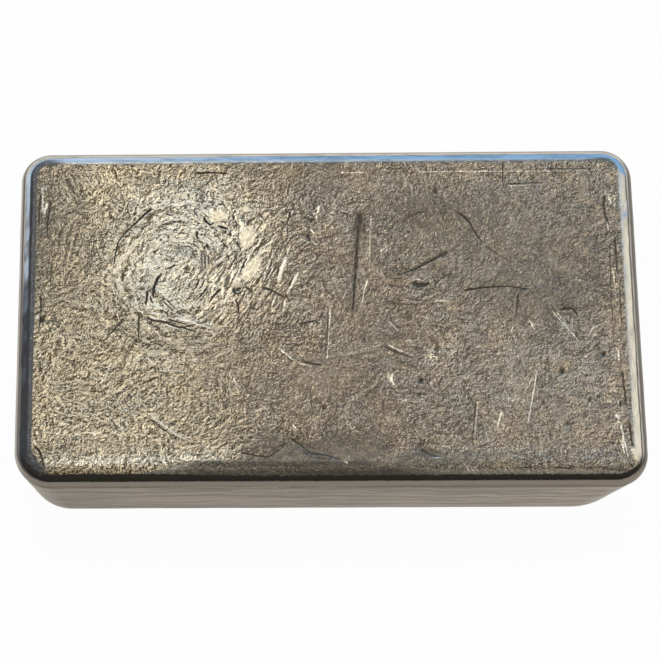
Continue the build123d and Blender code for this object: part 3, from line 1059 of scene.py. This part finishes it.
    def lay_folds(self):
        """Folds of the chilled skin at several sizes, and crumples, with painted shade and highlight as in a
        light from the back left.
        """
        tilted = [self.place.shift(-step, step) for step in CRUMPLE_STEPS]
        crumpled = [noise(spot, 0.8, 4.0, 0.68, 1.2) for spot in tilted]
        self.crumpled = crumpled[0]
        self.crumple_painted_shade = crumpled[0] - crumpled[1]
        self.creases = abs(noise(self.place, 0.55, 2.0, 0.6, 1.6) - 0.5).rise(0.0, 0.16)
        self.fine_height, self.fine_painted_shade = self.combed_patches((0.0, 0.0), 5.0, 2.1)
        self.broad_height, self.broad_painted_shade = self.combed_patches((3.1, -2.3), 9.0, 0.9)

    def strokes(self):
        """The pits and listed strokes, as a tone from dark to bright, with ragged and broken sides."""
        frayed = (noise(self.place, 0.8, 3.0, 0.65) - 0.5) * 1.1
        tone = -1.0 * self.kept("pitted")
        for name in STROKE_LAYERS:
            offset, shade, half_width = self.kept(name, "Vector").split()
            off = abs(offset + frayed * (0.2 + half_width)) / (half_width + 0.001)
            tone = tone + shade * off.rise(1.3, 0.4)
        return tone

    def wall_lines(self):
        """Level lines drawn down the walls."""
        level = (self.z + self.worn * 4.0 + self.mottled * 0.9) * 0.7
        return noise(joined(self.x * 0.035, self.y * 0.035, level), 1.0, 4.0, 0.6, 0.2)

    def shoulder_streaks(self):
        """Streaks along the shoulder, which turn with it at the corners."""
        side_streaks = noise(self.place.stretch(0.9, 0.16, 0.9), 1.0, 4.0, 0.7, 0.4)
        end_streaks = noise(self.place.stretch(0.14, 0.9, 0.9), 1.0, 4.0, 0.7, 0.4)
        return abs(self.y).rise(*BACK_EDGE).blend(side_streaks, end_streaks)

    def unevenness(self):
        """How much brighter or darker each place on the face is than plain skin: painted shade and highlight
        on the sides of its folds, crumples and rings, with its mottling, grain and soft patches.
        """
        tone_and_painted_shade = self.fine_painted_shade * (0.4 + 3.6 * self.mottled) - self.crumple_painted_shade * 6.0
        tone_and_painted_shade = tone_and_painted_shade + (self.crinkle - 0.5) * 1.8 + (self.folds - 0.5) * 0.8
        tone_and_painted_shade = tone_and_painted_shade + self.broad_painted_shade * (0.8 + 2.6 * self.worn) + (self.creases - 0.6) * 0.4
        tone_and_painted_shade = tone_and_painted_shade * (1.0 - 0.3 * self.calm) + self.combed_painted_shade * 7.0
        tone_and_painted_shade = (tone_and_painted_shade * 1.25 + (self.combed_height + 0.02) * 1.6) * self.strength
        tone_and_painted_shade = tone_and_painted_shade + (self.mottled - 0.5) * 1.3 + (self.grain - 0.5) * self.crusted * 2.0
        tone_and_painted_shade = tone_and_painted_shade + self.cream * 0.22 - self.grey * 0.3
        return tone_and_painted_shade - self.x.rise(*DULL_MIDDLE_START) * self.x.rise(*DULL_MIDDLE_END) * 0.3


def skin_height(skin):
    """How far the finish stands out or sinks in, in millimetres."""
    height = skin.broad_height * 0.10 + skin.fine_height * 0.24 + (skin.crumpled - 0.5) * 0.30
    height = height + (skin.folds - 0.5) * 0.15 + skin.combed_height * 0.28
    height = height * skin.strength + skin.stroke * 0.045
    height = height * (1.0 - 0.6 * skin.smooth) + skin.smooth * 0.05
    return height + skin.lines * skin.wall * 0.15


def crust_colour(skin):
    """The crumpled face, painted warm and bright at the left as painted light, with its stains, gleams that
    are painted highlight, smooth facets, and painted shade along the left and back rims.
    """
    left_tone = skin.tone_and_painted_shade.rise(-0.9, 0.9).blend(LEFT_DARK, LEFT_BRIGHT)
    tinge = noise(skin.place, 0.17, 3.0, 0.6).rise(0.40, 0.58)
    right_bright = tinge.blend(RIGHT_WARM, RIGHT_COOL)
    right_tone = skin.tone_and_painted_shade.rise(-0.9, 0.8).blend(RIGHT_DARK, right_bright)
    crust = skin.left.blend(right_tone, left_tone)
    crust = (skin.brown * 0.8).blend(crust, BROWN)
    crust = (skin.grey * 0.8).blend(crust, GREY_AND_SHADE)
    # Cream places, partly painted highlight, brightest where the painted shading is lit
    crust = (skin.cream * (0.25 + 0.9 * skin.tone_and_painted_shade)).blend(crust, PALE_CREAM_AND_HIGHLIGHT)
    crust = (skin.smooth * 0.7).blend(crust, FACET)
    # Painted shade along the left rim and the back rim, where the face starts to roll over
    at_left = skin.x.rise(*LEFT_RIM) * skin.lean.rise(0.0, 0.06)
    crust = at_left.blend(crust, LEFT_RIM_SHADE)
    return (skin.back * skin.lean.rise(*RIM_LEAN) * 0.7).blend(crust, BACK_RIM_SHADE)


def slope_colour(skin):
    """The bare slope along the front, dark where the crust is cut away."""
    speckle = (skin.grain * 0.5 + skin.crinkle * 0.5).rise(0.38, 0.62)
    tone = speckle.blend(SLOPE_DULL, SLOPE_BRIGHT)
    tone = (skin.x.rise(*DARK_SLOPE) * 0.85).blend(tone, SLOPE_DARK)
    return (skin.cut * skin.lean.rise(0.16, 0.04)).blend(tone, SLOPE_CUT)


def marked_colour(skin):
    """The face with its dents, cracks and strokes, whose dark and bright sides are partly painted shade and
    highlight.
    """
    body = (skin.slope * (0.55 + skin.streaks * 0.6)).blend(crust_colour(skin), slope_colour(skin))
    dents = noise(skin.place, 1.0, 3.0, 0.7, 2.0).rise(0.40, 0.31) * skin.face
    cracks = abs(noise(skin.place, 0.30, 3.0, 0.62, 1.2) - 0.5).rise(0.022, 0.0)
    cracks = cracks * skin.folds.rise(0.46, 0.60) * skin.face
    body = (dents * 0.65 + cracks * 0.8).blend(body, DENT)
    marked = skin.stroke * (0.15 + 0.9 * skin.folds + 0.6 * skin.crinkle + 0.35 * skin.tone_and_painted_shade)
    body = marked.rise(0.0, -0.75).blend(body, STROKE_DARK_AND_SHADE)
    return marked.rise(0.0, 1.0).blend(body, STROKE_BRIGHT_AND_HIGHLIGHT)


def shoulder_colour(skin):
    """The rolled shoulder: polished next to the face; below, painted reflection and shade of the dim
    surroundings, lighter at the left and darker elsewhere, with dark bands of painted reflection at the left
    and front.
    """
    x, y, lean = skin.x, skin.y, skin.lean
    polished = skin.streaks.rise(0.30, 0.62).blend(POLISH_DULL, POLISH_BRIGHT)
    upper = skin.crusted.blend(polished, marked_colour(skin))
    lower = x.rise(*RIGHT_CORNERS).blend(SHOULDER_LEFT_REFLECTION, SHOULDER_RIGHT_REFLECTION)
    lower = y.rise(*BACK_CORNERS).blend(lower, SHOULDER_BACK_REFLECTION)
    lower = y.rise(*FRONT_CORNERS).blend(lower, SHOULDER_FRONT_REFLECTION)
    lower = (x.rise(*LEFT_CORNERS) * lean.rise(0.66, 0.60)).blend(lower, SHOULDER_FAR_LEFT_REFLECTION)
    shoulder = lean.rise(*EDGE_LEAN).blend(upper, lower)
    blue_part = y.rise(*BLUE_PART) * lean.rise(0.24, 0.31)
    # Painted dark reflection in bands along the left and front shoulder
    left_dark_reflection = x.rise(*LEFT_SHOULDER) * lean.rise(*RIM_LEAN) * lean.rise(0.64, 0.60)
    shoulder = (left_dark_reflection * (1.0 - blue_part) * 0.92).blend(shoulder, LEFT_DARK_REFLECTION)
    ragged_lean = lean + (skin.folds - 0.5) * 0.12
    thickened = x.rise(*THICK_FRONT_BAND) * 0.07
    front_dark_reflection = skin.front * (ragged_lean + thickened).rise(0.36, 0.41) * ragged_lean.rise(0.62, 0.58)
    return (front_dark_reflection * 0.95).blend(shoulder, FRONT_DARK_REFLECTION)


def wall_colour(skin):
    """Level lines of dull and pale metal on the front wall, which are faint on the other walls. The front
    wall's tones are painted dark as shade for the dim surroundings it mirrors, and are darker at the left.
    """
    rightward = skin.x.rise(*WHOLE_LENGTH)
    dull, pale = [rightward.blend(*ends) for ends in zip(WALL_LINES_LEFT, WALL_LINES_RIGHT)]
    side = skin.lines.rise(0.40, 0.60).blend(dull, pale)
    crevices = abs(skin.lines - 0.46).rise(0.02, 0.0)
    side = (crevices * 0.7).blend(side, CREVICE)
    return (skin.y.rise(*OTHER_WALLS) * 0.82).blend(side, PLAIN_WALL)


def new_material(name):
    """A material, its nodes and its main shader."""
    material = bpy.data.materials.new(name)
    material.use_nodes = True
    return material, material.node_tree, material.node_tree.nodes["Principled BSDF"]


def in_scene(name, data):
    """A new object, put in the scene."""
    thing = bpy.data.objects.new(name, data)
    bpy.context.scene.collection.objects.link(thing)
    return thing


def cast_silver():
    """The bar's one finish: bare silver, rough where it is crusted and glossy where it is handled."""
    material, tree, shader = new_material("cast_silver")
    skin = CastSkin(tree)
    skin.lean.rise(*SKIN_TO_WALL).blend(shoulder_colour(skin), wall_colour(skin)).into(shader, "Base Color")
    shader.inputs["Metallic"].default_value = 1.0
    rough = skin.crusted.larger(skin.lean.rise(0.28, 0.16))
    (0.12 + rough * 0.18 + skin.wall * 0.2 + skin.smooth * 0.16).into(shader, "Roughness")
    sockets = {"Strength": 1.0, "Distance": MM, "Height": skin_height(skin)}
    skin.sheet.add("ShaderNodeBump", {}, sockets, "Normal").into(shader, "Normal")
    return material


def cast_bar():
    """The whole visible bar, which stands in for the solid."""
    mesh = bar_mesh()
    close_base(mesh)
    for polygon in mesh.polygons:
        polygon.use_smooth = True
    bar = in_scene("silver_bar_casting", mesh)
    bar.data.materials.append(cast_silver())
    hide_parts("silver_bar")
    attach(bar, "root")


# The floor: half its size in metres, its own white, and the white that the camera and the bar's sides see
FLOOR_HALF = 2.0
FLOOR_PAINT = colour(0.9, 0.9, 0.9)
FLOOR_SEEN = colour(1.0, 1.0, 1.0)
FLOOR_MIRRORED = colour(1.0, 0.95, 0.87)
SEEN_SHARE = 0.97


def floor_white():
    """White paint that keeps the bar's shadow, and that the camera and the bar's sides see as plain white."""
    material, tree, shader = new_material("floor_white")
    shader.inputs["Base Color"].default_value = FLOOR_PAINT
    shader.inputs["Roughness"].default_value = 0.9
    shader.inputs["Specular IOR Level"].default_value = 0.0
    sheet = Wire(tree)
    kinds = ("Is Camera Ray", "Is Glossy Ray", "Is Transmission Ray")
    seen, mirrored, through = [sheet.add("ShaderNodeLightPath", {}, {}, kind) for kind in kinds]
    pale = mirrored.blend(FLOOR_SEEN, FLOOR_MIRRORED)
    white = sheet.add("ShaderNodeEmission", {}, {"Color": pale, "Strength": 1.0}, "Emission")
    share = (seen + mirrored + through) * SEEN_SHARE
    lit = Wire(tree, shader.outputs[0])
    mixed = sheet.add("ShaderNodeMixShader", {}, {0: share, 1: lit, 2: white})
    mixed.into(tree.nodes["Material Output"], "Surface")
    return material


def pale_floor():
    """The floor that the bar lies on, wide enough to fill the picture."""
    bm = bmesh.new()
    bmesh.ops.create_grid(bm, x_segments=1, y_segments=1, size=FLOOR_HALF)
    mesh = bpy.data.meshes.new("floor")
    bm.to_mesh(mesh)
    bm.free()
    mesh.materials.append(floor_white())
    in_scene("floor", mesh)


# The camera: its lens in millimetres, its place in metres and how far it tilts up from straight down
LENS = 136.36
CAMERA_PLACE = (0.00034, -0.20078, 0.55668)
CAMERA_TILT = math.radians(20.28)


def photo_camera():
    """The camera stands over the bar's front and looks down on its face."""
    data = bpy.data.cameras.new("camera")
    data.sensor_width = 36
    data.lens = LENS
    camera = in_scene("camera", data)
    camera.location = CAMERA_PLACE
    camera.rotation_euler = (CAMERA_TILT, 0, 0)
    bpy.context.scene.camera = camera


# The sky's colours
BACK_BLUE = colour(0.36, 0.68, 1.12)
BACK_PALE_BLUE = colour(0.72, 0.95, 1.25)
OVERHEAD_FRONT = colour(0.25, 0.235, 0.205)
OVERHEAD_BACK = colour(0.56, 0.53, 0.49)
FRONT_GREY = colour(0.28, 0.265, 0.24)
RIGHT_CREAM = colour(1.22, 1.15, 0.96)
RIGHT_LOW_GREY = colour(0.16, 0.16, 0.16)
LEFT_GREY = colour(0.27, 0.275, 0.29)
LEFT_BLUE = colour(0.80, 0.98, 1.22)
HORIZON = colour(0.20, 0.19, 0.18)


def open_sky():
    """Blue low at the back, cream low at the right, and grey at the left and in front."""
    world = bpy.data.worlds.new("open_sky")
    bpy.context.scene.world = world
    world.use_nodes = True
    tree = world.node_tree
    sheet = Wire(tree)
    dx, dy, dz = sheet.add("ShaderNodeTexCoord", {}, {}, "Generated").split()
    blue = dx.rise(-0.06, -0.035).blend(BACK_PALE_BLUE, BACK_BLUE)
    over = dy.rise(0.20, -0.25).blend(OVERHEAD_BACK, OVERHEAD_FRONT)
    middle = (dz.rise(0.86, 0.78) * dy.rise(0.0, 0.20)).blend(over, blue)
    middle = (dz.rise(0.68, 0.57) * dy.rise(0.12, -0.10)).blend(middle, FRONT_GREY)
    cream = dz.rise(0.13, 0.24).blend(RIGHT_LOW_GREY, RIGHT_CREAM)
    left = (dy.rise(0.325, 0.36) * dz.rise(0.54, 0.44)).blend(LEFT_GREY, LEFT_BLUE)
    sky = dx.rise(-0.12, -0.20).blend(middle, left)
    before_back = dy.rise(0.45, 0.422).larger(dz.rise(0.72, 0.80))
    sky = (dx.rise(0.18, 0.26) * dy.rise(-0.34, -0.20) * before_back).blend(sky, cream)
    sky = dz.rise(0.0, 0.07).blend(HORIZON, sky)
    sky.into(tree.nodes["Background"], "Color")


# The lamp: its place and what it aims at in metres, its width, its power in watts and its colour
LAMP_PLACE = (-0.12, 0.235, 0.53)
LAMP_AIM = (-0.03, 0.01, 0.0266)
LAMP_WIDTH = 0.12
LAMP_POWER = 0.82
LAMP_COLOUR = (1.0, 0.93, 0.80)


def soft_lamp():
    """One broad lamp over the back left, whose gleam lies on the left half of the face."""
    data = bpy.data.lights.new("soft_lamp", "AREA")
    data.shape = "DISK"
    data.size = LAMP_WIDTH
    data.energy = LAMP_POWER
    data.color = LAMP_COLOUR
    lamp = in_scene("soft_lamp", data)
    lamp.location = LAMP_PLACE
    lamp.rotation_euler = (Vector(LAMP_AIM) - lamp.location).to_track_quat("-Z", "Y").to_euler()


cast_bar()
pale_floor()
photo_camera()
open_sky()
soft_lamp()
bpy.context.scene.view_settings.view_transform = "Standard"
